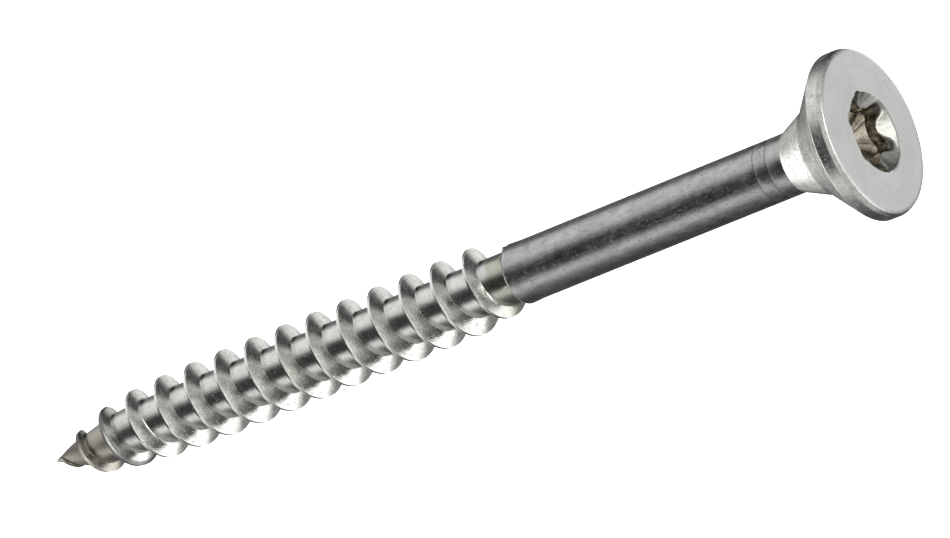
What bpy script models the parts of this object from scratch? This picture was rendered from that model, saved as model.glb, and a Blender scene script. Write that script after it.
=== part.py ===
"""Countersunk wood screw, 5 x 60 mm: six-lobe drive, plain shank, part thread and gimlet point.

The real screw is one cold-formed and thread-rolled piece of stainless steel, so it is one node.
Frame: origin at the centre of the head's face, +Z out of the head, the point at z = -LENGTH.
Metres throughout. Every place along the axis is measured from the head's face.
"""

import math

import bmesh
import bpy

# Overall sizes.
LENGTH = 0.060
HEAD_DIAMETER = 0.010
SHANK_DIAMETER = 0.0036
THREAD_DIAMETER = 0.00494
THREAD_LENGTH = 0.0349

# Head, from the face down to the shank.
FACE_EDGE = 0.0002            # the face is this much smaller than the rim, in radius
FACE_EDGE_DEPTH = 0.00035     # depth over which the edge of the face rounds out to the rim
RIM_DEPTH = 0.00092           # where the upright rim ends
RIM_LOWER_EDGE = 0.0001       # radius lost where the rim turns into the countersink
COUNTERSINK_ANGLE = math.radians(90)
FLARE_RADIUS = 0.00092        # how far the flare under the countersink stands out from the shank
FLARE_ANGLE = math.radians(24.5)
FLARE_LEDGE = 0.00007         # small step where the flare ends on the shank

# Six-lobe drive socket.
SOCKET_ACROSS_LOBES = 0.0045
SOCKET_ACROSS_BUMPS = 0.00325
SOCKET_LOBE_ROUND = 0.00037
SOCKET_LEAD_IN = 0.0001       # the lobes' mouth is this much wider, in radius
SOCKET_CHAMFER_ACROSS = 0.00472   # round chamfer that cuts the bumps back at the face
SOCKET_CHAMFER_DEPTH = 0.00066    # where the chamfer has run down onto the bumps
SOCKET_CHAMFER_RINGS = 4
SOCKET_DEPTH = 0.00132        # upright walls, before the conical floor
SOCKET_FLOOR_ANGLE = math.radians(120)
LOBES = 6

# Thread and point.
CORE_DIAMETER = 0.00311
THREAD_PITCH = 0.002305
CREST_WIDTH = 0.00018
HEAD_FLANK_ANGLE = math.radians(22)
POINT_FLANK_ANGLE = math.radians(15)
THREAD_PHASE = math.radians(165.7)
CORE_POINT_LENGTH = 0.0027    # length scales over which core and crest swell to full size
CREST_POINT_LENGTH = 0.0032
POINT_BLUNTNESS = 1.15
RUN_OUT_TURNS = 1.65          # the thread would sink to nothing over this many turns
RUN_OUT_LEFT = 0.34           # share of its depth that it still has where the shank begins
SHOULDER_LENGTH = 0.00018     # cone between core and shank

# Fineness of the faceted solid.
SEGMENTS = 36
SOCKET_SEGMENTS = 2 * SEGMENTS
SNAP = 0.00003                # a thread point this near an end ring is put on it

STEEL = (0.56, 0.56, 0.55, 1.0)


def clear_scene():
    """Remove every object that is already in the scene."""
    for obj in list(bpy.data.objects):
        bpy.data.objects.remove(obj, do_unlink=True)


def steel_material():
    """Bare stainless steel."""
    material = bpy.data.materials.new("stainless_steel")
    material.use_nodes = True
    shader = material.node_tree.nodes["Principled BSDF"]
    shader.inputs["Base Color"].default_value = STEEL
    shader.inputs["Metallic"].default_value = 1.0
    shader.inputs["Roughness"].default_value = 0.28
    return material


def socket_radius(angle, grow=0.0):
    """Distance from the axis to the six-lobe outline: round lobes joined tangentially to round bumps."""
    lobe = SOCKET_LOBE_ROUND
    centre_lobe = SOCKET_ACROSS_LOBES / 2 - lobe
    inner = SOCKET_ACROSS_BUMPS / 2
    half_step = math.pi / LOBES
    # The bump's round follows from its arc touching the lobe's arc.
    across = 2 * centre_lobe * math.cos(half_step)
    bump = (centre_lobe ** 2 + inner ** 2 - across * inner - lobe ** 2) / (2 * lobe - 2 * inner + across)
    centre_bump = inner + bump
    touch_x = centre_bump * math.cos(half_step) - centre_lobe
    touch_y = centre_bump * math.sin(half_step)
    reach = lobe / math.hypot(touch_x, touch_y)
    touch = math.atan2(reach * touch_y, centre_lobe + reach * touch_x)
    off = abs((angle + half_step) % (2 * half_step) - half_step)
    if off <= touch:
        side = centre_lobe * math.sin(off)
        radius = centre_lobe * math.cos(off) + math.sqrt(max(lobe ** 2 - side ** 2, 0.0))
    else:
        off = half_step - off
        side = centre_bump * math.sin(off)
        radius = centre_bump * math.cos(off) - math.sqrt(max(bump ** 2 - side ** 2, 0.0))
    return radius + grow


def mouth_radius(angle, depth):
    """Distance from the axis to the socket's wall at a depth inside the round chamfer."""
    left = 1 - depth / SOCKET_CHAMFER_DEPTH
    inner = SOCKET_ACROSS_BUMPS / 2
    chamfer = inner + (SOCKET_CHAMFER_ACROSS / 2 - inner) * left
    return max(socket_radius(angle, SOCKET_LEAD_IN * left), chamfer)


def point_swell(height, length):
    """Share of full size at a height above the point: the gimlet's blunt, bulging cone."""
    return 1 - math.exp(-((height / length) ** POINT_BLUNTNESS))


def thread_steps():
    """One pitch of the thread as (place along the pitch, share of thread depth), from the crest up."""
    depth = (THREAD_DIAMETER - CORE_DIAMETER) / 2
    head_flank = depth * math.tan(HEAD_FLANK_ANGLE)
    point_flank = depth * math.tan(POINT_FLANK_ANGLE)
    half_crest = CREST_WIDTH / 2
    return [
        (-half_crest, 1.0),
        (half_crest, 1.0),
        (half_crest + 0.8 * head_flank, 0.2),
        (half_crest + 1.3 * head_flank, 0.0),
        (THREAD_PITCH - half_crest - 1.3 * point_flank, 0.0),
        (THREAD_PITCH - half_crest - 0.8 * point_flank, 0.2),
    ]


def thread_radius(z, turn_place, share, top):
    """Radius of the threaded part at z, for a point of the thread that lies turn_place turns up the helix."""
    full_core = CORE_DIAMETER / 2
    core = full_core * point_swell(z + LENGTH, CORE_POINT_LENGTH)
    crest = THREAD_DIAMETER / 2 * point_swell(z + LENGTH, CREST_POINT_LENGTH)
    turns_left = THREAD_LENGTH / THREAD_PITCH - turn_place
    fade = min(max(RUN_OUT_LEFT + turns_left / RUN_OUT_TURNS, 0.0), 1.0)
    radius = core + max(crest - core, 0.0) * share * fade
    up_shoulder = (z - top + SHOULDER_LENGTH) / SHOULDER_LENGTH
    return max(radius, full_core + (SHANK_DIAMETER / 2 - full_core) * up_shoulder)


def add_thread(mesh):
    """Build the threaded part from the apex to the shank, and return the ring of points on the shank."""
    top = THREAD_LENGTH - LENGTH
    steps = thread_steps()
    turns = math.ceil(THREAD_LENGTH / THREAD_PITCH) + 2
    apex = mesh.verts.new((0, 0, -LENGTH))
    ring = []
    columns = []
    for segment in range(SEGMENTS):
        angle = 2 * math.pi * segment / SEGMENTS
        lead = ((angle - THREAD_PHASE) / (2 * math.pi)) % 1.0
        shank = SHANK_DIAMETER / 2
        ring.append(mesh.verts.new((shank * math.cos(angle), shank * math.sin(angle), top)))
        column = []
        for turn in range(-2, turns):
            for place, share in steps:
                z = -LENGTH + THREAD_PITCH * (turn + lead) + place
                if z <= -LENGTH + 2 * SNAP:
                    column.append(apex)
                elif z >= top - SNAP:
                    column.append(ring[-1])
                else:
                    radius = thread_radius(z, turn + lead, share, top)
                    column.append(mesh.verts.new((radius * math.cos(angle), radius * math.sin(angle), z)))
        columns.append(column)
    first = next(i for i in range(SEGMENTS) if ((2 * math.pi * i / SEGMENTS - THREAD_PHASE) % (2 * math.pi))
                 < 2 * math.pi / SEGMENTS)
    for segment in range(SEGMENTS):
        following = (segment + 1) % SEGMENTS
        # Past the angle where the helix starts its count, the next column is one turn behind.
        shift = len(steps) if following == first else 0
        here = columns[segment]
        there = columns[following]
        for i in range(len(here) - 1):
            if i + shift + 1 >= len(there):
                break
            add_face(mesh, [here[i], there[i + shift], there[i + shift + 1], here[i + 1]])
    return ring


def add_face(mesh, corners):
    """Add a face, leaving out corners that coincide."""
    kept = [corner for i, corner in enumerate(corners) if corner != corners[i - 1]]
    if len(kept) >= 3 and len(set(kept)) == len(kept):
        mesh.faces.new(kept)


def head_profile():
    """(radius, z) of the turned outline from the shank up to the edge of the face."""
    shank = SHANK_DIAMETER / 2
    rim = HEAD_DIAMETER / 2
    cone_slope = math.tan(COUNTERSINK_ANGLE / 2)
    flare_slope = math.tan(FLARE_ANGLE)
    cone_top = rim - RIM_LOWER_EDGE
    flare_top = shank + FLARE_RADIUS
    cone_end = -RIM_DEPTH - RIM_LOWER_EDGE - (cone_top - flare_top) / cone_slope
    flare_end = cone_end - (FLARE_RADIUS - FLARE_LEDGE) / flare_slope
    outline = [
        (shank, flare_end - FLARE_LEDGE),
        (shank + FLARE_LEDGE, flare_end),
        (flare_top, cone_end),
        (cone_top, -RIM_DEPTH - RIM_LOWER_EDGE),
        (rim, -RIM_DEPTH),
        (rim, -FACE_EDGE_DEPTH),
    ]
    steps = 3
    for step in range(1, steps + 1):
        turn = math.pi / 2 * step / steps
        outline.append((rim - FACE_EDGE * (1 - math.cos(turn)), -FACE_EDGE_DEPTH * (1 - math.sin(turn))))
    return outline


def add_ring(mesh, radius, z, segments):
    """A ring of points. The radius is a number, or a function of the angle."""
    ring = []
    for segment in range(segments):
        angle = 2 * math.pi * segment / segments
        reach = radius(angle) if callable(radius) else radius
        ring.append(mesh.verts.new((reach * math.cos(angle), reach * math.sin(angle), z)))
    return ring


def join_rings(mesh, lower, upper):
    """Quads between two rings of as many points."""
    for i in range(len(lower)):
        j = (i + 1) % len(lower)
        mesh.faces.new([lower[i], lower[j], upper[j], upper[i]])


def join_face(mesh, outer, inner):
    """The flat annulus between the edge of the face and a socket mouth with twice as many points."""
    for i in range(len(outer)):
        j = (i + 1) % len(outer)
        near, middle, far = (inner[(2 * i + step) % len(inner)] for step in range(3))
        mesh.faces.new([outer[i], middle, near])
        mesh.faces.new([outer[i], outer[j], middle])
        mesh.faces.new([outer[j], far, middle])


def add_head(mesh, ring):
    """Turned head on top of a ring of the shank. Returns the ring at the edge of the face."""
    for radius, z in head_profile():
        upper = add_ring(mesh, radius, z, SEGMENTS)
        join_rings(mesh, ring, upper)
        ring = upper
    return ring


def add_socket(mesh, edge):
    """Face and six-lobe socket: a round chamfer, upright walls and a floor like a shallow cone."""
    wall = add_ring(mesh, lambda angle: mouth_radius(angle, 0.0), 0.0, SOCKET_SEGMENTS)
    join_face(mesh, edge, wall)
    for step in range(1, SOCKET_CHAMFER_RINGS + 1):
        depth = SOCKET_CHAMFER_DEPTH * step / SOCKET_CHAMFER_RINGS
        lower = add_ring(mesh, lambda angle: mouth_radius(angle, depth), -depth, SOCKET_SEGMENTS)
        join_rings(mesh, wall, lower)
        wall = lower
    foot = add_ring(mesh, socket_radius, -SOCKET_DEPTH, SOCKET_SEGMENTS)
    join_rings(mesh, wall, foot)
    floor_fall = SOCKET_ACROSS_BUMPS / 2 / math.tan(SOCKET_FLOOR_ANGLE / 2)
    floor = mesh.verts.new((0, 0, -SOCKET_DEPTH - floor_fall))
    for i in range(SOCKET_SEGMENTS):
        mesh.faces.new([foot[i], foot[(i + 1) % SOCKET_SEGMENTS], floor])


def build_screw():
    """The screw as one closed body."""
    mesh = bmesh.new()
    ring = add_thread(mesh)
    edge = add_head(mesh, ring)
    add_socket(mesh, edge)
    bmesh.ops.triangulate(mesh, faces=mesh.faces[:])
    bmesh.ops.recalc_face_normals(mesh, faces=mesh.faces[:])
    data = bpy.data.meshes.new("screw")
    mesh.to_mesh(data)
    mesh.free()
    data.shade_smooth()
    data.set_sharp_from_angle(angle=math.radians(35))
    screw = bpy.data.objects.new("screw", data)
    screw.data.materials.append(steel_material())
    bpy.context.scene.collection.objects.link(screw)


clear_scene()
build_screw()
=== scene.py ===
"""Looks of a countersunk stainless wood screw: its fine surface, finishes and studio.

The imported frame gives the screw's length and head size. Sizes are metres, and angles are radians
unless a comment says otherwise.
The origin is the centre of the head's face, +Z leaves the head and the point is at the lowest Z.
"""

import logging
import math
from dataclasses import dataclass, fields
from enum import Enum
from typing import Any, Optional, Sequence, Union

import bmesh
import bpy
import numpy as np
from mathutils import Matrix, Vector, noise


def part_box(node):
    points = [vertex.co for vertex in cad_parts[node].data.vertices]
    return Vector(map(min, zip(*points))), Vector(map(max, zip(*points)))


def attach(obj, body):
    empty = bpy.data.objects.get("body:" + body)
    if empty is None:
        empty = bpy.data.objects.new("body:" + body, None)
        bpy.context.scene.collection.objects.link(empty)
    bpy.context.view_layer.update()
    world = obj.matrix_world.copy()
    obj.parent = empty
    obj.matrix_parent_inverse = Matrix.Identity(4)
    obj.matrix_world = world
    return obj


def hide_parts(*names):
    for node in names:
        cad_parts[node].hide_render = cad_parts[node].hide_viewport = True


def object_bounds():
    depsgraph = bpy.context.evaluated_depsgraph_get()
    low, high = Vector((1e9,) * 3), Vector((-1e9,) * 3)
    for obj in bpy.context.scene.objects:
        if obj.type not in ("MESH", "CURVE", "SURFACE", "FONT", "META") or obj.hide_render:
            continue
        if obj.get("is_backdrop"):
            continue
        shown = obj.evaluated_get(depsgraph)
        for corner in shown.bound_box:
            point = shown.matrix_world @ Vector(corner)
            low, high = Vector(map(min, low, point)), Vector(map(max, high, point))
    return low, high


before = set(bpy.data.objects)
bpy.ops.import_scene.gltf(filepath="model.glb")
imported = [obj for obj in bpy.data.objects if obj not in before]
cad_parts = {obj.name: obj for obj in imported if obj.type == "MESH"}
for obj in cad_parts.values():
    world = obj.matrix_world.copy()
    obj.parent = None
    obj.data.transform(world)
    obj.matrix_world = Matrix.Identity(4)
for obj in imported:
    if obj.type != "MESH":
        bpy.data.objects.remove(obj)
LOG = logging.getLogger("wood_screw")

MM = 0.001
BODY = "root"
NODE = "screw"
SEGMENTS = 120                # points around the thread and the shank
HEAD_SEGMENTS = 2 * SEGMENTS  # points around the head and its socket
NEARLY_STRAIGHT = 0.499 * math.pi

Colour = tuple[float, float, float]
Number = Union[int, float]


# ------- node graphs


class Signal:
    """One output of a node graph. Arithmetic on it adds Math nodes."""

    def __init__(self, graph: "Graph", socket: bpy.types.NodeSocket) -> None:
        """Wrap an output socket of a graph."""
        self.graph = graph
        self.socket = socket

    def math(self, operation: str, *others: "Value") -> "Signal":
        """Combine this signal with others through one Math node."""
        return self.graph.math(operation, self, *others)

    def __add__(self, other: "Value") -> "Signal":
        """Sum."""
        return self.math("ADD", other)

    def __radd__(self, other: Number) -> "Signal":
        """Sum with a number on the left."""
        return self.math("ADD", other)

    def __sub__(self, other: "Value") -> "Signal":
        """Difference."""
        return self.math("SUBTRACT", other)

    def __rsub__(self, other: Number) -> "Signal":
        """Difference from a number."""
        return self.graph.math("SUBTRACT", other, self)

    def __mul__(self, other: "Value") -> "Signal":
        """Product."""
        return self.math("MULTIPLY", other)

    def __rmul__(self, other: Number) -> "Signal":
        """Product with a number on the left."""
        return self.math("MULTIPLY", other)

    def __truediv__(self, other: "Value") -> "Signal":
        """Quotient."""
        return self.math("DIVIDE", other)

    def __pow__(self, other: "Value") -> "Signal":
        """Power."""
        return self.math("POWER", other)

    def __neg__(self) -> "Signal":
        """Opposite."""
        return self.math("MULTIPLY", -1.0)

    def least(self, other: "Value") -> "Signal":
        """The smaller of the two."""
        return self.math("MINIMUM", other)

    def most(self, other: "Value") -> "Signal":
        """The larger of the two."""
        return self.math("MAXIMUM", other)

    def clamped(self) -> "Signal":
        """Held between 0 and 1."""
        return self.most(0.0).least(1.0)

    def between(self, low: "Value", high: "Value") -> "Signal":
        """Smooth step from 0 at low to 1 at high."""
        step = ((self - low) / (high - low)).clamped()
        return step * step * (3.0 - 2.0 * step)


Value = Union[Signal, int, float]


class Graph:
    """A node tree that is written as expressions."""

    def __init__(self, tree: bpy.types.NodeTree) -> None:
        """Wrap the node tree that nodes are added to."""
        self.tree = tree

    def node(
        self,
        kind: str,
        settings: Optional[dict[str, Any]] = None,
        inputs: Optional[dict[Any, Any]] = None,
    ) -> bpy.types.Node:
        """Add a node.

        Args:
            kind: The node's type.
            settings: Its properties, set before its sockets.
            inputs: Values, signals or sockets for its inputs, by name or number.

        Returns:
            The new node.
        """
        made = self.tree.nodes.new(kind)
        for name, value in (settings or {}).items():
            setattr(made, name, value)
        for name, value in (inputs or {}).items():
            self._feed(made.inputs[name], value)
        return made

    def _feed(self, socket: bpy.types.NodeSocket, value: Any) -> None:
        """Link a signal or a socket to an input, or set the input's own value."""
        if isinstance(value, Signal):
            self.tree.links.new(value.socket, socket)
        elif isinstance(value, bpy.types.NodeSocket):
            self.tree.links.new(value, socket)
        else:
            socket.default_value = value

    def out(self, node: bpy.types.Node, name: Union[int, str] = 0) -> Signal:
        """One of a node's outputs as a signal."""
        return Signal(self, node.outputs[name])

    def math(self, operation: str, *values: Value) -> Signal:
        """Add a Math node and give its result."""
        operands = dict(enumerate(values))
        return self.out(self.node("ShaderNodeMath", {"operation": operation}, operands))

    def vector(self, x: Value, y: Value, z: Value) -> Signal:
        """A vector of three signals."""
        return self.out(self.node("ShaderNodeCombineXYZ", None, {0: x, 1: y, 2: z}))

    def split(self, vector: Signal) -> tuple[Signal, Signal, Signal]:
        """The three parts of a vector."""
        made = self.node("ShaderNodeSeparateXYZ", None, {0: vector})
        return self.out(made, 0), self.out(made, 1), self.out(made, 2)

    def dot(self, vector: Signal, direction: Sequence[float]) -> Signal:
        """Dot product of a vector with a fixed direction."""
        made = self.node(
            "ShaderNodeVectorMath", {"operation": "DOT_PRODUCT"}, {0: vector, 1: tuple(direction)}
        )
        return self.out(made, "Value")

    def noise(
        self,
        vector: Signal,
        scale: Value,
        detail: float = 2.0,
        roughness: float = 0.5,
        distortion: float = 0.0,
    ) -> Signal:
        """Noise from 0 to 1 around a half.

        Args:
            vector: Where it is read.
            scale: How many cells there are to one unit.
            detail: Octaves.
            roughness: Share of the finer octaves.
            distortion: How far the noise bends itself.

        Returns:
            The noise.
        """
        made = self.node(
            "ShaderNodeTexNoise",
            {"noise_dimensions": "3D"},
            {
                "Vector": vector,
                "Scale": scale,
                "Detail": detail,
                "Roughness": roughness,
                "Distortion": distortion,
            },
        )
        return self.out(made, 0)

    def cells(self, vector: Signal, scale: Value) -> Signal:
        """Distance to the nearest of scattered points, in cells."""
        made = self.node(
            "ShaderNodeTexVoronoi",
            {"voronoi_dimensions": "3D", "feature": "F1"},
            {"Vector": vector, "Scale": scale, "Randomness": 1.0},
        )
        return self.out(made, "Distance")

    def mix_colour(self, share: Value, first: Any, second: Any) -> Signal:
        """Blend two colours.

        Args:
            share: How much of the second there is.
            first: A colour or a signal.
            second: A colour or a signal.

        Returns:
            The blended colour.
        """
        made = self.node("ShaderNodeMix", {"data_type": "RGBA", "blend_type": "MIX"})
        for place, value in ((0, share), (6, first), (7, second)):
            self._feed(made.inputs[place], (*value, 1.0) if isinstance(value, tuple) else value)
        return self.out(made, 2)


# ------- finishes


class Lines(Enum):
    """Which way the fine tool marks of a finish run."""

    AROUND_FACE = "rings on a face"
    AROUND_SIDE = "rings on a side"
    LENGTHWISE = "along the axis"


@dataclass(frozen=True)
class Pits:
    """Small dents scattered over a surface."""

    spacing: float
    depth: float
    share: float          # how much of each cell a dent takes
    darkening: float      # how far a dent darkens the steel


@dataclass(frozen=True)
class Tint:
    """A stretch along the axis, or a band of radii, where the steel looks different; some tints are
    its own colour and some are painted shade or painted highlight.
    """

    colour: Colour
    amount: float
    roughness: float               # how much rougher the steel is there
    low: float
    high: float
    soft: float                    # how far its ends fade
    by_radius: bool = False        # low and high are distances from the axis, not heights
    beyond: float = 0.0            # it only shows this far from the axis and further

    BEYOND_SOFT = 0.1

    def share(self, radius: Signal, z: Signal, mottle: Signal) -> Signal:
        """How much of the tint there is at each point.

        Args:
            radius: Distance from the axis.
            z: Object Z.
            mottle: The finish's own slow noise, which breaks up the edges.

        Returns:
            The share, from 0 to 1.
        """
        along = (radius if self.by_radius else z) + (mottle - 0.5) * (2.0 * self.soft)
        rise = along.between(self.low - self.soft, self.low + self.soft)
        fall = 1.0 - along.between(self.high - self.soft, self.high + self.soft)
        share = rise * fall * self.amount
        if self.beyond:
            soft = self.BEYOND_SOFT * self.soft
            share = share * radius.between(self.beyond - soft, self.beyond + soft)
        return share


@dataclass(frozen=True)
class SteelFinish:
    """Bare stainless steel as one forming step leaves it, with any painted shade or highlight that
    its tints add.
    """

    name: str
    dark: Colour
    light: Colour
    roughness: float
    roughness_spread: float
    mottle_size: float             # of slow patches
    grain_size: float
    grain_depth: float
    lines: Lines
    line_width: float
    line_depth: float
    line_length: float
    pits: Optional[Pits] = None
    tints: tuple[Tint, ...] = ()
    metallic: float = 1.0

    MOTTLE, GRAIN, STREAK = 0.5, 0.2, 0.3    # their shares of the tone
    TONE_ENDS = (0.32, 0.68)
    DENT_COLOUR = (0.05, 0.048, 0.045)
    DENT_ROUGHNESS = 0.2
    NEAR_ZERO = 1e-12

    def material(self) -> bpy.types.Material:
        """Build the finish.

        Returns:
            The material.
        """
        made = bpy.data.materials.new(self.name)
        made.use_nodes = True
        graph = Graph(made.node_tree)
        shader = made.node_tree.nodes["Principled BSDF"]
        place = graph.out(graph.node("ShaderNodeTexCoord"), "Object")
        x, y, z = graph.split(place)
        radius = (x * x + y * y + self.NEAR_ZERO) ** 0.5
        mottle = graph.noise(place, 1.0 / self.mottle_size, 4.0, 0.6, 0.4)
        grain = graph.noise(place, 1.0 / self.grain_size, 3.0, 0.6)
        streak = self._streak(graph, x, y, z, radius)
        tone = self.MOTTLE * mottle + self.GRAIN * grain + self.STREAK * streak
        colour = graph.mix_colour(tone.between(*self.TONE_ENDS), self.dark, self.light)
        height = grain * self.grain_depth + streak * self.line_depth
        rough = self.roughness + self.roughness_spread * (mottle + grain + streak - 1.5)
        if self.pits:
            dent = self._dents(graph, place)
            height = height - dent * self.pits.depth
            colour = graph.mix_colour(dent * self.pits.darkening, colour, self.DENT_COLOUR)
            rough = rough + dent * self.DENT_ROUGHNESS
        for tint in self.tints:
            share = tint.share(radius, z, mottle)
            colour = graph.mix_colour(share, colour, tint.colour)
            rough = rough + share * tint.roughness
        heights = {"Strength": 1.0, "Distance": 1.0, "Height": height}
        bump = graph.node("ShaderNodeBump", None, heights)
        links = {"Base Color": colour, "Roughness": rough.clamped(), "Normal": graph.out(bump)}
        for name, signal in links.items():
            made.node_tree.links.new(signal.socket, shader.inputs[name])
        shader.inputs["Metallic"].default_value = self.metallic
        return made

    def _streak(self, graph: Graph, x: Signal, y: Signal, z: Signal, radius: Signal) -> Signal:
        """Noise that is drawn out along the tool marks.

        Args:
            graph: The material's graph.
            x: Object X.
            y: Object Y.
            z: Object Z.
            radius: Distance from the axis.

        Returns:
            The noise, from 0 to 1.
        """
        if self.lines is Lines.LENGTHWISE:
            across = 1.0 / self.line_width
            place = graph.vector(x * across, y * across, z / self.line_length)
            return graph.noise(place, 1.0, 2.0, 0.6)
        turn = radius.most(MM) * (1.0 / self.line_length) / radius
        step = (radius if self.lines is Lines.AROUND_FACE else z) / self.line_width
        place = graph.vector(x * turn, y * turn, step)
        return graph.noise(place, 1.0, 2.0, 0.65)

    def _dents(self, graph: Graph, place: Signal) -> Signal:
        """Where the dents are: 1 in the middle of each, 0 outside."""
        near = graph.cells(place, 1.0 / self.pits.spacing)
        chance = graph.noise(place, 0.37 / self.pits.spacing, 1.0)
        reach = self.pits.share * chance.between(0.42, 0.66)
        return ((reach - near) / self.pits.share * 3.0).clamped()


# ------- surfaces of revolution


@dataclass(frozen=True)
class Corner:
    """A corner of a turned outline: its place and how widely it is rounded."""

    radius: float
    z: float
    round: float = 0.0


def rounded_outline(corners: Sequence[Corner], steps: int) -> list[tuple[float, float]]:
    """Round the corners of an outline with arcs.

    Args:
        corners: The outline's corners, in order.
        steps: Edges along each arc.

    Returns:
        Points of the rounded outline, as (radius, z).
    """
    points = [(corners[0].radius, corners[0].z)]
    for before, here, after in zip(corners, corners[1:], corners[2:]):
        spot = Vector((here.radius, here.z))
        back = (Vector((before.radius, before.z)) - spot).normalized()
        ahead = (Vector((after.radius, after.z)) - spot).normalized()
        half = 0.5 * back.angle(ahead)
        if here.round == 0.0 or half > NEARLY_STRAIGHT:
            points.append(tuple(spot))
            continue
        middle = spot + (back + ahead).normalized() * (here.round / math.sin(half))
        first = spot + back * (here.round / math.tan(half)) - middle
        last = spot + ahead * (here.round / math.tan(half)) - middle
        sweep = first.angle(last)
        for step in range(steps + 1):
            share = step / steps
            mixed = first * math.sin((1 - share) * sweep) + last * math.sin(share * sweep)
            points.append(tuple(middle + mixed / math.sin(sweep)))
    points.append((corners[-1].radius, corners[-1].z))
    return points


def finer(points: Sequence[tuple[float, float]], longest: float) -> list[tuple[float, float]]:
    """Split the long edges of an outline.

    Args:
        points: The outline.
        longest: The longest edge that stays whole.

    Returns:
        The outline with more points.
    """
    result = [points[0]]
    for start, end in zip(points, points[1:]):
        count = max(1, math.ceil(math.dist(start, end) / longest))
        for step in range(1, count + 1):
            share = step / count
            result.append(tuple(a + (b - a) * share for a, b in zip(start, end)))
    return result


class Surface:
    """The screw's closed surface while it is being put together."""

    def __init__(self) -> None:
        """Start with nothing."""
        self.mesh = bmesh.new()

    def ring(self, points: Sequence[tuple[float, float, float]]) -> list[bmesh.types.BMVert]:
        """Add a closed ring of points."""
        return [self.mesh.verts.new(point) for point in points]

    def circle(self, radius: float, z: float, segments: int) -> list[bmesh.types.BMVert]:
        """Add a round ring about the axis."""
        turns = [2 * math.pi * step / segments for step in range(segments)]
        return self.ring([(radius * math.cos(turn), radius * math.sin(turn), z) for turn in turns])

    def join(
        self, lower: list[bmesh.types.BMVert], upper: list[bmesh.types.BMVert], finish: int
    ) -> None:
        """Fill between two rings, the upper with as many points or with twice as many.

        Args:
            lower: The first ring.
            upper: The ring that follows it along the outline.
            finish: Number of the finish of the faces.
        """
        count = len(lower)
        for here in range(count):
            there = (here + 1) % count
            if len(upper) == count:
                faces = [[lower[here], lower[there], upper[there], upper[here]]]
            else:
                near, middle, far = (upper[(2 * here + step) % len(upper)] for step in range(3))
                faces = [
                    [lower[here], middle, near],
                    [lower[here], lower[there], middle],
                    [lower[there], far, middle],
                ]
            for face in faces:
                self.mesh.faces.new(face).material_index = finish

    def close(self, ring: list[bmesh.types.BMVert], z: float, finish: int) -> None:
        """Close a ring to a point on the axis.

        Args:
            ring: The ring.
            z: The point's height.
            finish: Number of the finish of the faces.
        """
        tip = self.mesh.verts.new((0.0, 0.0, z))
        for here in range(len(ring)):
            there = (here + 1) % len(ring)
            self.mesh.faces.new([ring[here], ring[there], tip]).material_index = finish

    def turn(
        self,
        start: list[bmesh.types.BMVert],
        outline: Sequence[tuple[float, float]],
        segments: int,
        finish: int,
    ) -> list[bmesh.types.BMVert]:
        """Turn an outline about the axis.

        Args:
            start: The ring it grows from.
            outline: Points after that ring, as (radius, z).
            segments: Points around.
            finish: Number of the finish of the faces.

        Returns:
            The last ring.
        """
        ring = start
        for radius, z in outline:
            upper = self.circle(radius, z, segments)
            self.join(ring, upper, finish)
            ring = upper
        return ring


# ------- thread


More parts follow.
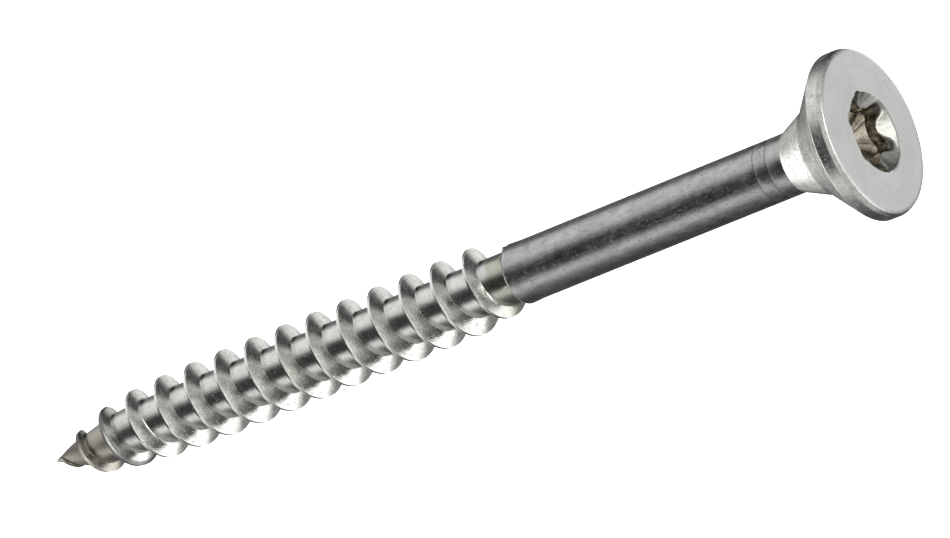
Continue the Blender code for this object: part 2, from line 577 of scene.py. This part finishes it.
@dataclass
class Thread:
    """The rolled thread and its core, from the point up to the plain shank."""

    length: float
    shank_radius: float
    thread_length: float = 34.9 * MM
    crest_radius: float = 2.47 * MM
    core_radius: float = 1.555 * MM
    pitch: float = 2.305 * MM
    crest_width: float = 0.18 * MM
    head_flank: float = math.radians(22)
    point_flank: float = math.radians(15)
    phase: float = math.radians(165.7)
    core_point_length: float = 2.7 * MM
    crest_point_length: float = 3.2 * MM
    point_bluntness: float = 1.15
    run_out_turns: float = 1.36
    run_out_left: float = 0.20             # share of the depth left at the shoulder
    shoulder_length: float = 0.025 * MM
    shoulder_reach: float = 0.27 * MM      # points this near the shoulder are drawn to its foot
    foot_round: float = 0.05 * MM
    lip_height: float = 0.014 * MM
    ragged_height: float = 0.02 * MM
    point_crest_growth: float = 1.0        # how much wider the crest is at the point
    point_crest_reach: float = 5.0 * MM
    point_lean: float = 0.13 * MM          # how far the rolled point stands off the axis
    point_lean_height: float = 3.1 * MM
    point_lean_spread: float = 1.5 * MM
    seed: float = 4.0
    crest_steps: int = 6
    flank_steps: int = 7
    foot_steps: int = 2
    core_steps: int = 5
    point_flank_steps: int = 5

    TURNS_BELOW = 2
    SNAP = 0.00002
    WELD = 2e-7
    POINT_LIP_LOSS = 0.8
    RAGGED_AROUND = 2.2
    RAGGED_ALONG = 700.0
    RAGGED_SINK = 0.3
    NO_DEPTH = 1e-6

    def sizes(self) -> dict[str, float]:
        """The sizes that the node tree takes, by the names of its inputs."""
        names = [field.name for field in fields(self) if field.type is float]
        return {name.replace("_", " ").title(): getattr(self, name) for name in names}

    def tree(self) -> bpy.types.NodeTree:
        """Build the node tree that winds the thread.

        A flat grid is wound up: one way it counts turns, the other way it crosses one pitch of the
        thread, from the crest over the head-side flank and the core to the next crest.

        Returns:
            The tree, with one input for each size and one for the finish.
        """
        tree = bpy.data.node_groups.new("winding_thread", "GeometryNodeTree")
        for name in self.sizes():
            tree.interface.new_socket(name, in_out="INPUT", socket_type="NodeSocketFloat")
        tree.interface.new_socket("Finish", in_out="INPUT", socket_type="NodeSocketMaterial")
        tree.interface.new_socket("Geometry", in_out="OUTPUT", socket_type="NodeSocketGeometry")
        graph = Graph(tree)
        given = graph.node("NodeGroupInput")
        size = {name: graph.out(given, name) for name in self.sizes()}
        turns = math.ceil(self.thread_length / self.pitch) + self.TURNS_BELOW + 1
        steps = (
            self.crest_steps + self.flank_steps + self.foot_steps
            + self.core_steps + self.foot_steps + self.point_flank_steps
        )
        grid = graph.node(
            "GeometryNodeMeshGrid",
            None,
            {
                "Size X": float(turns),
                "Size Y": float(steps),
                "Vertices X": turns * SEGMENTS + 1,
                "Vertices Y": steps + 1,
            },
        )
        flat_x, flat_y, _ = graph.split(graph.out(graph.node("GeometryNodeInputPosition")))
        turn = ((flat_x + turns / 2) * SEGMENTS).math("ROUND") / SEGMENTS
        step = (flat_y + steps / 2).math("ROUND")
        place = self._wound_place(graph, size, turn, step)
        made = graph.out(grid)
        for kind, inputs in (
            ("GeometryNodeSetPosition", {"Position": place}),
            ("GeometryNodeMergeByDistance", {"Distance": self.WELD}),
            ("GeometryNodeRealizeInstances", {}),
            ("GeometryNodeSetMaterial", {"Material": graph.out(given, "Finish")}),
        ):
            made = graph.out(graph.node(kind, None, {"Geometry": made, **inputs}))
        graph.node("NodeGroupOutput", None, {0: made})
        return tree

    def _along_pitch(self, graph: Graph, size: dict[str, Signal], step: Signal) -> Signal:
        """Where a step across the thread lies along the pitch, from the middle of the crest."""
        depth = size["Crest Radius"] - size["Core Radius"]
        head_side = depth * size["Head Flank"].math("TANGENT")
        point_side = depth * size["Point Flank"].math("TANGENT")
        foot = size["Foot Round"] * 2.0
        open_core = size["Pitch"] - size["Crest Width"] - head_side - point_side - foot * 2.0
        spans = (
            (self.crest_steps, size["Crest Width"]),
            (self.flank_steps, head_side),
            (self.foot_steps, foot),
            (self.core_steps, open_core),
            (self.foot_steps, foot),
            (self.point_flank_steps, point_side),
        )
        along, start = size["Crest Width"] * -0.5, 0
        for count, width in spans:
            along = along + ((step - start) / count).clamped() * width
            start += count
        return along

    def _swell(self, height: Signal, scale: Signal, bluntness: Signal) -> Signal:
        """Share of full size at a height above the point: a blunt, bulging cone."""
        return 1.0 - (-((height.most(0.0) / scale) ** bluntness)).math("EXPONENT")

    def _wound_place(
        self, graph: Graph, size: dict[str, Signal], turn: Signal, step: Signal
    ) -> Signal:
        """Where a point of the flat grid goes on the thread.

        Args:
            graph: The tree's graph.
            size: The tree's inputs.
            turn: Turns from the grid's start.
            step: Step across the thread.

        Returns:
            The place as a vector.
        """
        along = self._along_pitch(graph, size, step)
        count = turn - size["Phase"] / (2 * math.pi) - float(self.TURNS_BELOW)
        half_width = size["Crest Width"] * 0.5
        bottom = -size["Length"]
        top = size["Thread Length"] - size["Length"]
        free = bottom + size["Pitch"] * count + along
        above = (free + self.SNAP).math("GREATER_THAN", top)
        below = free.math("LESS_THAN", bottom + 2 * self.SNAP)
        foot_z = top - size["Shoulder Length"]
        at_foot = free.math("GREATER_THAN", top - size["Shoulder Reach"]) * (1.0 - above)
        z = free + (top - free) * above + (bottom - free) * below + (foot_z - free) * at_foot
        along = along + (foot_z - free) * at_foot
        too_far = along.math("GREATER_THAN", size["Pitch"] - half_width)
        too_near = along.math("LESS_THAN", -half_width)
        wrap = (too_far - too_near) * at_foot
        along = along - size["Pitch"] * wrap
        count = count + wrap
        height = z - bottom
        blunt = size["Point Bluntness"]
        core, crest = (
            size[name + " Radius"] * self._swell(height, size[name + " Point Length"], blunt)
            for name in ("Core", "Crest")
        )
        left = size["Thread Length"] / size["Pitch"] - count
        fade = (size["Run Out Left"] + left / size["Run Out Turns"]).clamped()
        next_fade = (size["Run Out Left"] + (left - 1.0) / size["Run Out Turns"]).clamped()
        full_depth = (crest - core).most(0.0)
        near_point = height / size["Point Crest Reach"]
        growth = size["Point Crest Growth"] * (-(near_point * near_point)).math("EXPONENT")
        half = half_width * (1.0 + growth)
        past_crest = (along - half).most(0.0) / size["Head Flank"].math("TANGENT")
        to_crest = (size["Pitch"] - half - along).most(0.0) / size["Point Flank"].math("TANGENT")
        lower_half = along.math("LESS_THAN", size["Pitch"] * 0.5)
        depth = full_depth * (next_fade + (fade - next_fade) * lower_half)
        angle = turn.math("FRACT") * (2 * math.pi)
        east, north = angle.math("COSINE"), angle.math("SINE")
        around, up = self.RAGGED_AROUND, z * self.RAGGED_ALONG + size["Seed"]
        spot = graph.vector(east * around, north * around, up)
        ragged = graph.noise(spot, scale=2.4, detail=3.0, roughness=0.7) - 0.5
        from_crest = along.math("ABSOLUTE").least((size["Pitch"] - along).math("ABSOLUTE"))
        across = (from_crest / half).least(1.0)
        lip = size["Lip Height"] * (1.0 - self.POINT_LIP_LOSS * growth) * (across * across - 1.0)
        edge = depth / (size["Crest Radius"] - size["Core Radius"])
        worn = ragged * size["Ragged Height"] - size["Ragged Height"] * self.RAGGED_SINK
        ridge = (full_depth * fade - past_crest).most(full_depth * next_fade - to_crest)
        ridge = ridge + (lip + worn) * edge
        raised = ridge.math("SMOOTH_MAX", 0.0, size["Foot Round"])
        radius = core + raised * (depth / (depth + self.NO_DEPTH))
        radius = radius + (size["Shank Radius"] - radius) * above
        radius = radius * (1.0 - below)
        lean_place = (height - size["Point Lean Height"]) / size["Point Lean Spread"]
        lean = size["Point Lean"] * (-(lean_place * lean_place)).math("EXPONENT")
        lean = lean * (1.0 - below) * (1.0 - above)
        return graph.vector(east * radius + lean, north * radius, z)

    def build(self, finish: bpy.types.Material) -> bpy.types.Mesh:
        """Wind the thread.

        Args:
            finish: Its finish.

        Returns:
            The thread as a plain mesh, open where the shank begins.
        """
        carrier = bpy.data.objects.new("thread", bpy.data.meshes.new("thread"))
        bpy.context.scene.collection.objects.link(carrier)
        modifier = carrier.modifiers.new("winding", "NODES")
        modifier.node_group = self.tree()
        sizes = self.sizes()
        for item in modifier.node_group.interface.items_tree:
            if item.item_type == "SOCKET" and item.in_out == "INPUT":
                modifier[item.identifier] = finish if item.name == "Finish" else sizes[item.name]
        graph = bpy.context.evaluated_depsgraph_get()
        wound = bpy.data.meshes.new_from_object(carrier.evaluated_get(graph), depsgraph=graph)
        carrier.modifiers.remove(modifier)
        bpy.data.objects.remove(carrier)
        return wound


# ------- shank, head, socket


@dataclass
class Shank:
    """The plain shank between the thread and the head."""

    radius: float = 1.8 * MM
    end_radius: float = 1.62 * MM      # where the thread ends, inside the rounded shoulder
    collar_radius: float = 1.85 * MM
    collar_length: float = 1.0 * MM
    collar_round: float = 0.21 * MM
    collar_fade: float = 3.0 * MM
    shoulder_rise: float = 0.01 * MM
    low: float = -25.1 * MM
    high: float = -5.22 * MM
    ring_line_places: tuple[float, ...] = (-6.25 * MM, -7.1 * MM)
    ring_line_depth: float = 0.008 * MM
    ring_line_width: float = 0.06 * MM
    longest_edge: float = 0.6 * MM
    arc_steps: int = 6

    def outline(self) -> list[tuple[float, float]]:
        """The shank's outline above its first ring, with its fine ring lines."""
        half = self.ring_line_width / 2
        points = rounded_outline(
            [
                Corner(self.end_radius, self.low),
                Corner(self.collar_radius, self.low + self.shoulder_rise, self.collar_round),
                Corner(self.radius, self.low + self.collar_length, self.collar_fade),
                Corner(self.radius, self.low + 2.0 * self.collar_length),
            ],
            self.arc_steps,
        )
        for place in sorted(self.ring_line_places):
            points += [
                (self.radius, place - half),
                (self.radius - self.ring_line_depth, place),
                (self.radius, place + half),
            ]
        points.append((self.radius, self.high))
        return finer(points, self.longest_edge)[1:]


@dataclass
class Head:
    """The countersunk head with the flare under it."""

    rim_radius: float
    shank_top: float
    shank_radius: float
    face_radius: float = 4.8 * MM
    rim_depth: float = 0.98 * MM
    rim_top: float = 0.3 * MM
    rim_top_round: float = 0.3 * MM
    rim_foot: float = 0.06 * MM            # from the rim down to the cone
    rim_foot_round: float = 0.03 * MM
    face_edge: float = 0.07 * MM
    face_edge_depth: float = 0.05 * MM
    face_edge_round: float = 0.06 * MM
    cone_top_radius: float = 4.96 * MM
    cone_top_round: float = 0.02 * MM
    waist_radius: float = 2.7 * MM
    waist_round: float = 1.1 * MM
    ledge: float = 0.055 * MM
    ledge_rise: float = 0.03 * MM
    ledge_round: float = 0.012 * MM
    longest_edge: float = 0.18 * MM
    arc_steps: int = 8

    def outline(self) -> list[tuple[float, float]]:
        """The head's outline from the shank to the edge of the face."""
        cone_top = -self.rim_depth - self.rim_foot
        waist = cone_top - (self.cone_top_radius - self.waist_radius)
        corners = [
            Corner(self.shank_radius, self.shank_top),
            Corner(
                self.shank_radius + self.ledge, self.shank_top + self.ledge_rise, self.ledge_round
            ),
            Corner(self.waist_radius, waist, self.waist_round),
            Corner(self.cone_top_radius, cone_top, self.cone_top_round),
            Corner(self.rim_radius, cone_top + self.rim_foot, self.rim_foot_round),
            Corner(self.rim_radius, -self.rim_top, self.rim_top_round),
            Corner(self.face_radius + self.face_edge, -self.face_edge_depth, self.face_edge_round),
            Corner(self.face_radius, 0.0),
        ]
        return finer(rounded_outline(corners, self.arc_steps), self.longest_edge)[1:]


@dataclass
class Socket:
    """The six-lobe drive socket and the face around it."""

    across_lobes: float = 4.56 * MM
    across_bumps: float = 3.3 * MM
    lobe_round: float = 0.38 * MM
    lobes: int = 6
    lead_in: float = 0.13 * MM
    chamfer_radius: float = 2.38 * MM
    chamfer_depth: float = 0.66 * MM
    chamfer_shift: float = 0.2 * MM
    chamfer_towards: float = math.radians(65)
    chamfer_rings: int = 9
    blend: float = 0.10 * MM
    depth: float = 1.32 * MM
    wall_rings: int = 8
    floor_fall: float = 0.94 * MM
    floor_rings: int = 8
    face_rings: int = 10
    wear: float = 0.04 * MM            # how far the wall strays from its true shape
    wear_size: float = 0.7 * MM
    samples: int = 2400                # points that its outline is measured at

    FINE_WEAR = 0.4
    FINE_WEAR_SCALE = 3.0

    def _reach(self, angle: float, grow: float) -> float:
        """Distance from the axis to the outline: round lobes joined tangentially to round bumps.

        Args:
            angle: Direction about the axis, from the middle of a lobe.
            grow: How far the outline is offset outwards.

        Returns:
            The distance.
        """
        lobe = self.lobe_round + grow
        centre_lobe = self.across_lobes / 2 - self.lobe_round
        inner = self.across_bumps / 2 + grow
        half_step = math.pi / self.lobes
        across = 2 * centre_lobe * math.cos(half_step)
        bump = centre_lobe ** 2 + inner ** 2 - across * inner - lobe ** 2
        bump /= 2 * lobe - 2 * inner + across
        centre_bump = inner + bump
        touch_x = centre_bump * math.cos(half_step) - centre_lobe
        touch_y = centre_bump * math.sin(half_step)
        reach = lobe / math.hypot(touch_x, touch_y)
        touch = math.atan2(reach * touch_y, centre_lobe + reach * touch_x)
        off = abs((angle + half_step) % (2 * half_step) - half_step)
        if off <= touch:
            side = centre_lobe * math.sin(off)
            return centre_lobe * math.cos(off) + math.sqrt(max(lobe ** 2 - side ** 2, 0.0))
        off = half_step - off
        side = centre_bump * math.sin(off)
        return centre_bump * math.cos(off) - math.sqrt(max(bump ** 2 - side ** 2, 0.0))

    def _chamfer(self, angle: float, left: float) -> float:
        """Distance from the axis to the round chamfer, whose punch stood slightly off the axis.

        Args:
            angle: Direction about the axis.
            left: Share of the chamfer that is still below.

        Returns:
            The distance.
        """
        inner = self.across_bumps / 2
        radius = inner + (self.chamfer_radius - inner) * left
        off = angle - self.chamfer_towards
        shift = self.chamfer_shift * left
        return shift * math.cos(off) + math.sqrt(radius ** 2 - (shift * math.sin(off)) ** 2)

    def outline(self, depth: float) -> list[tuple[float, float, float]]:
        """Points evenly spaced along the socket's outline.

        Args:
            depth: How far it is below the face.

        Returns:
            As many points as the head has around it.
        """
        left = max(1 - depth / self.chamfer_depth, 0.0)
        turns = np.linspace(0, 2 * math.pi, self.samples + 1)
        lobed = np.array([self._reach(turn, self.lead_in * left) for turn in turns])
        reach = lobed
        if left > 0:
            chamfer = np.array([self._chamfer(turn, left) for turn in turns])
            near = np.maximum(self.blend - np.abs(lobed - chamfer), 0) / self.blend
            reach = np.maximum(lobed, chamfer) + near ** 2 * self.blend / 4 * min(1.0, 3 * left)
        wide = 0.5 * self.across_lobes / self.wear_size
        worn = []
        for turn in turns:
            place = Vector((wide * math.cos(turn), wide * math.sin(turn), depth / self.wear_size))
            fine = noise.noise(self.FINE_WEAR_SCALE * place)
            worn.append(noise.noise(place) + self.FINE_WEAR * fine)
        reach = reach + self.wear * np.array(worn)
        points = np.stack([reach * np.cos(turns), reach * np.sin(turns)], axis=1)
        edges = np.linalg.norm(np.diff(points, axis=0), axis=1)
        lengths = np.concatenate([[0.0], np.cumsum(edges)])
        wanted = np.linspace(0, lengths[-1], HEAD_SEGMENTS, endpoint=False)
        x, y = (np.interp(wanted, lengths, points[:, axis]) for axis in (0, 1))
        return [(east, north, -depth) for east, north in zip(x, y)]

    def add_to(
        self, surface: Surface, edge: list[bmesh.types.BMVert], face: int, inside: int
    ) -> None:
        """Add the face, from its edge inwards, and the socket down to its floor.

        Args:
            surface: The surface to add to.
            edge: The ring at the edge of the face.
            face: Number of the face's finish.
            inside: Number of the socket's finish.
        """
        rim = [tuple(vertex.co) for vertex in edge]
        mouth = self.outline(0.0)
        ring = edge
        for step in range(1, self.face_rings + 1):
            share = step / self.face_rings
            points = [
                tuple(a + (b - a) * share for a, b in zip(outer, inner))
                for outer, inner in zip(rim, mouth)
            ]
            following = surface.ring(points)
            surface.join(ring, following, face)
            ring = following
        depths, above = [], 0.0
        stretches = (self.chamfer_rings, self.chamfer_depth), (self.wall_rings, self.depth)
        for count, below in stretches:
            depths += [above + (below - above) * step / count for step in range(1, count + 1)]
            above = below
        for depth in depths:
            following = surface.ring(self.outline(depth))
            surface.join(ring, following, inside)
            ring = following
        foot = [tuple(vertex.co) for vertex in ring]
        for step in range(1, self.floor_rings):
            share = 1 - step / self.floor_rings
            drop = self.floor_fall * (1 - share)
            following = surface.ring([(x * share, y * share, z - drop) for x, y, z in foot])
            surface.join(ring, following, inside)
            ring = following
        surface.close(ring, -self.depth - self.floor_fall, inside)


# ------- the screw


class Screw:
    """The whole screw: one cold-formed, thread-rolled piece of steel."""

    SHARP = math.radians(38)
    WELD = 1e-6
    RING_LINE_HALF = 0.035 * MM

    def __init__(self) -> None:
        """Take the overall sizes from the frame and the rest from the parts' own fields."""
        low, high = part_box(NODE)
        self.shank = Shank()
        self.thread = Thread(length=high.z - low.z, shank_radius=self.shank.end_radius)
        self.head = Head(high.x, shank_top=self.shank.high, shank_radius=self.shank.radius)
        self.socket = Socket()

    def finishes(self) -> list[SteelFinish]:
        """The finishes of the thread, the shank, the head's side, its face and its socket."""
        thread = SteelFinish(
            name="rolled_thread_steel", dark=(0.46, 0.46, 0.44), light=(0.80, 0.80, 0.765),
            roughness=0.18, roughness_spread=0.12, mottle_size=0.4 * MM,
            grain_size=0.10 * MM, grain_depth=0.0040 * MM, lines=Lines.AROUND_FACE,
            line_width=0.07 * MM, line_depth=0.0040 * MM, line_length=1.1 * MM,
            pits=Pits(spacing=0.16 * MM, depth=0.003 * MM, share=0.35, darkening=0.35),
            tints=self._thread_tints(),
        )
        line = self.RING_LINE_HALF
        shank = SteelFinish(
            name="drawn_shank_steel", dark=(0.285, 0.285, 0.28), light=(0.48, 0.48, 0.47),
            roughness=0.27, roughness_spread=0.14, mottle_size=0.7 * MM,
            grain_size=0.085 * MM, grain_depth=0.0070 * MM, lines=Lines.LENGTHWISE,
            line_width=0.14 * MM, line_depth=0.0022 * MM, line_length=1.2 * MM,
            pits=Pits(spacing=0.10 * MM, depth=0.004 * MM, share=0.42, darkening=0.4),
            tints=tuple(
                Tint((0.10, 0.10, 0.095), 0.7, 0.1, place - line, place + line, 0.012 * MM)
                for place in self.shank.ring_line_places
            ),
        )
        side = SteelFinish(
            name="formed_head_steel", dark=(0.40, 0.395, 0.375), light=(0.76, 0.755, 0.73),
            roughness=0.27, roughness_spread=0.20, mottle_size=0.38 * MM,
            grain_size=0.10 * MM, grain_depth=0.009 * MM, lines=Lines.AROUND_SIDE,
            line_width=0.05 * MM, line_depth=0.0030 * MM, line_length=1.3 * MM,
            pits=Pits(spacing=0.12 * MM, depth=0.005 * MM, share=0.4, darkening=0.3),
            tints=(Tint((0.56, 0.56, 0.55), 0.3, 0.06, -1.0 * MM, 1.0 * MM, 0.03 * MM),),
        )
        face = SteelFinish(
            name="faced_head_steel", dark=(0.64, 0.655, 0.64), light=(0.76, 0.77, 0.755),
            roughness=0.28, roughness_spread=0.10, mottle_size=1.8 * MM,
            grain_size=0.11 * MM, grain_depth=0.0015 * MM, lines=Lines.AROUND_FACE,
            line_width=0.085 * MM, line_depth=0.0065 * MM, line_length=7.0 * MM,
        )
        inside = SteelFinish(
            name="pressed_socket_steel", dark=(0.15, 0.135, 0.105), light=(0.34, 0.31, 0.255),
            roughness=0.26, roughness_spread=0.12, mottle_size=0.5 * MM,
            grain_size=0.16 * MM, grain_depth=0.009 * MM, lines=Lines.AROUND_SIDE,
            line_width=0.09 * MM, line_depth=0.0015 * MM, line_length=0.8 * MM,
            tints=(Tint((0.31, 0.31, 0.29), 0.85, 0.04, -0.62 * MM, 1.0 * MM, 0.05 * MM),),
        )
        return [thread, shank, side, face, inside]

    @staticmethod
    def _thread_tints() -> tuple[Tint, ...]:
        """The thread's core darkened as painted shade between the ridges, its warm, rough point,
        its second turn's crest darkened as painted shade, its shoulder and its crest brightened as
        a painted highlight.
        """
        # Painted shade: the core between the ridges is darkened in place of the shade that falls
        # there.
        core = Tint((0.50, 0.50, 0.49), 0.5, 0.0, -1.0 * MM, 1.60 * MM, 0.03 * MM, by_radius=True)
        low = -62.0 * MM
        first_turns = Tint((0.33, 0.31, 0.255), 0.75, 0.05, low, -54.6 * MM, 0.9 * MM)
        point = Tint((0.115, 0.102, 0.082), 0.85, 0.05, low, -56.9 * MM, 0.4 * MM)
        # Painted shade: darkens the second turn's crest beyond 1.9 mm from the axis, in place of
        # the bright glint that the light gives there.
        second_crest_painted_shade = Tint(
            (0.16, 0.16, 0.165), 0.85, 0.10, -56.0 * MM, -53.4 * MM, 0.3 * MM, beyond=1.9 * MM
        )
        shoulder = Tint((0.30, 0.29, 0.21), 0.6, 0.05, -26.4 * MM, -25.0 * MM, 0.3 * MM)
        # Painted highlight: the crest is brightened towards pale grey where the light catches it.
        crest = Tint((0.74, 0.74, 0.72), 0.6, 0.06, 2.41 * MM, 3.0 * MM, 0.03 * MM, by_radius=True)
        return core, first_turns, point, second_crest_painted_shade, shoulder, crest

    def build(self) -> bpy.types.Object:
        """Build the screw and tie it to the frame.

        Returns:
            The finished piece.
        """
        materials = [finish.material() for finish in self.finishes()]
        wound = self.thread.build(materials[0])
        LOG.info("thread: %d points", len(wound.vertices))
        surface = Surface()
        surface.mesh.from_mesh(wound)
        for face in surface.mesh.faces:
            face.material_index = 0
        bpy.data.meshes.remove(wound)
        ring = surface.circle(self.shank.end_radius, self.shank.low, SEGMENTS)
        ring = surface.turn(ring, self.shank.outline(), SEGMENTS, 1)
        LOG.info("shank: up to %.2f mm", self.shank.high / MM)
        edge = surface.turn(ring, self.head.outline(), HEAD_SEGMENTS, 2)
        LOG.info("head: %.1f mm across", 2 * self.head.rim_radius / MM)
        self.socket.add_to(surface, edge, 3, 4)
        LOG.info("socket: %.2f mm deep", self.socket.depth / MM)
        return self._finished(surface, materials)

    def _finished(self, surface: Surface, materials: list[bpy.types.Material]) -> bpy.types.Object:
        """Weld the surface, count the edges that are open, and make it a piece.

        Args:
            surface: The parts' surfaces.
            materials: Their finishes, in order.

        Returns:
            The piece.
        """
        mesh = surface.mesh
        bmesh.ops.remove_doubles(mesh, verts=mesh.verts[:], dist=self.WELD)
        bmesh.ops.triangulate(mesh, faces=[face for face in mesh.faces if len(face.verts) > 3])
        bmesh.ops.recalc_face_normals(mesh, faces=mesh.faces[:])
        if mesh.calc_volume(signed=True) < 0:
            bmesh.ops.reverse_faces(mesh, faces=mesh.faces[:])
        open_edges = sum(1 for edge in mesh.edges if len(edge.link_faces) != 2)
        data = bpy.data.meshes.new("wood_screw")
        mesh.to_mesh(data)
        mesh.free()
        for material in materials:
            data.materials.append(material)
        data.shade_smooth()
        data.set_sharp_from_angle(angle=self.SHARP)
        piece = bpy.data.objects.new("wood_screw", data)
        bpy.context.scene.collection.objects.link(piece)
        LOG.info("wood_screw: %d triangles, %d open edges", len(data.polygons), open_edges)
        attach(piece, BODY)
        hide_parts(NODE)
        return piece


# ------- studio


@dataclass(frozen=True)
class SoftBox:
    """A round, far patch of the studio: a light, or a flag whose strength is the share it takes."""

    direction: tuple[float, float, float]
    reach: float           # degrees from its middle to where it ends
    soft: float            # degrees over which it fades out, either side of its end
    strength: float

    def patch(self, graph: Graph, towards: Signal) -> Signal:
        """The patch's strength in each direction.

        Args:
            graph: The world's graph.
            towards: The direction looked in.

        Returns:
            Its strength, fading out at its edge.
        """
        facing = graph.dot(towards, Vector(self.direction).normalized())
        reach, soft = math.radians(self.reach), math.radians(self.soft)
        edge = math.cos(reach + soft), math.cos(max(reach - soft, 0.0))
        return facing.between(*edge) * self.strength


@dataclass
class Studio:
    """A pale floor far below the screw, soft light all round, and the camera."""

    floor_gap: float = 0.25
    floor_size: float = 30.0
    tent: float = 0.75            # the white tent all round
    boxes: tuple[SoftBox, ...] = (
        SoftBox((-0.18, -0.36, 0.91), 17, 15, 3.8),
        SoftBox((0.10, -0.10, -1.0), 18, 14, 1.6),
        SoftBox((-0.22, 0.96, 0.08), 12, 8, 0.4),
        SoftBox((0.50, 0.40, 0.77), 12, 12, 1.3),
        SoftBox((-0.90, -0.20, -0.40), 20, 20, 0.45),
        SoftBox((0.61, -0.60, -0.51), 9, 9, 0.4),
    )
    flags: tuple[SoftBox, ...] = (
        SoftBox((0.0, -0.93, -0.37), 29, 11, 0.93),
        SoftBox((0.86, 0.10, -0.50), 18, 12, 0.74),
        SoftBox((0.27, 0.94, 0.16), 12, 10, 0.5),
        SoftBox((0.70, 0.68, -0.25), 26, 16, 0.92),
        SoftBox((-0.72, 0.66, -0.15), 26, 16, 0.95),
        SoftBox((0.0, 0.80, -0.60), 18, 12, 0.9),
        SoftBox((-0.45, 0.70, 0.55), 15, 8, 0.88),
        SoftBox((0.45, 0.76, 0.46), 11, 8, 0.55),
    )

    lens: float = 338.17
    sensor: float = 36.0
    distance: float = 513.086 * MM
    elevation: float = math.radians(32.0095)
    roll: float = math.radians(67.8583)
    aim: float = 26.9698 * MM          # how far down the screw the camera aims
    shift_across: float = -1.0546 * MM
    shift_up: float = 0.9055 * MM

    def add_floor(self, lowest: float) -> None:
        """Lay the floor.

        Args:
            lowest: Height of the screw's point.
        """
        half = self.floor_size / 2
        z = lowest - self.floor_gap
        data = bpy.data.meshes.new("floor")
        corners = [(-half, -half, z), (half, -half, z), (half, half, z), (-half, half, z)]
        data.from_pydata(corners, [], [(0, 1, 2, 3)])
        material = bpy.data.materials.new("pale_floor")
        material.use_nodes = True
        shader = material.node_tree.nodes["Principled BSDF"]
        shader.inputs["Base Color"].default_value = (0.85, 0.85, 0.85, 1.0)
        shader.inputs["Roughness"].default_value = 1.0
        shader.inputs["Emission Color"].default_value = (1.0, 1.0, 1.0, 1.0)
        shader.inputs["Emission Strength"].default_value = 0.75
        data.materials.append(material)
        floor = bpy.data.objects.new("floor", data)
        bpy.context.scene.collection.objects.link(floor)
        floor.visible_glossy = False
        floor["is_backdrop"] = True

    def add_light(self) -> None:
        """Surround the screw with soft light."""
        world = bpy.data.worlds.new("studio")
        bpy.context.scene.world = world
        world.use_nodes = True
        graph = Graph(world.node_tree)
        background = world.node_tree.nodes["Background"]
        towards = graph.out(graph.node("ShaderNodeTexCoord"), "Generated")
        light: Value = self.tent
        for flag in self.flags:
            light = light * (1.0 - flag.patch(graph, towards))
        for box in self.boxes:
            light = light + box.patch(graph, towards)
        seen = graph.out(graph.node("ShaderNodeLightPath"), "Is Camera Ray")
        level = light + (1.0 - light) * seen
        world.node_tree.links.new(level.socket, background.inputs["Strength"])
        background.inputs["Color"].default_value = (1.0, 1.0, 1.0, 1.0)
        bpy.context.scene.view_settings.view_transform = "Standard"

    def add_camera(self) -> None:
        """Look down at the screw from in front, with the camera rolled so that it lies aslant."""
        back = Vector((0.0, -math.cos(self.elevation), math.sin(self.elevation)))
        level = Vector((1.0, 0.0, 0.0))
        rise = back.cross(level)
        across = math.cos(self.roll) * level + math.sin(self.roll) * rise
        up = -math.sin(self.roll) * level + math.cos(self.roll) * rise
        target = Vector((0.0, 0.0, -self.aim)) + self.shift_across * across + self.shift_up * up
        data = bpy.data.cameras.new("camera")
        data.lens = self.lens
        data.sensor_width = self.sensor
        data.clip_start = 0.01
        data.clip_end = 100.0
        camera = bpy.data.objects.new("camera", data)
        bpy.context.scene.collection.objects.link(camera)
        place = Matrix((across, up, back)).transposed().to_4x4()
        place.translation = target + back * self.distance
        camera.matrix_world = place
        bpy.context.scene.camera = camera


def box_as_lists(box: Any) -> list[list[float]]:
    """A box's two corners as plain lists of numbers."""
    return [[float(value) for value in corner] for corner in box]


def main() -> None:
    """Build the screw and its studio."""
    logging.basicConfig(level=logging.INFO, format="%(message)s")
    cad_box = box_as_lists(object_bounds())
    screw = Screw()
    screw.build()
    studio = Studio()
    studio.add_floor(cad_box[0][2])
    studio.add_light()
    studio.add_camera()
    LOG.info("studio: floor, light and camera")


if __name__ == "__main__":
    main()
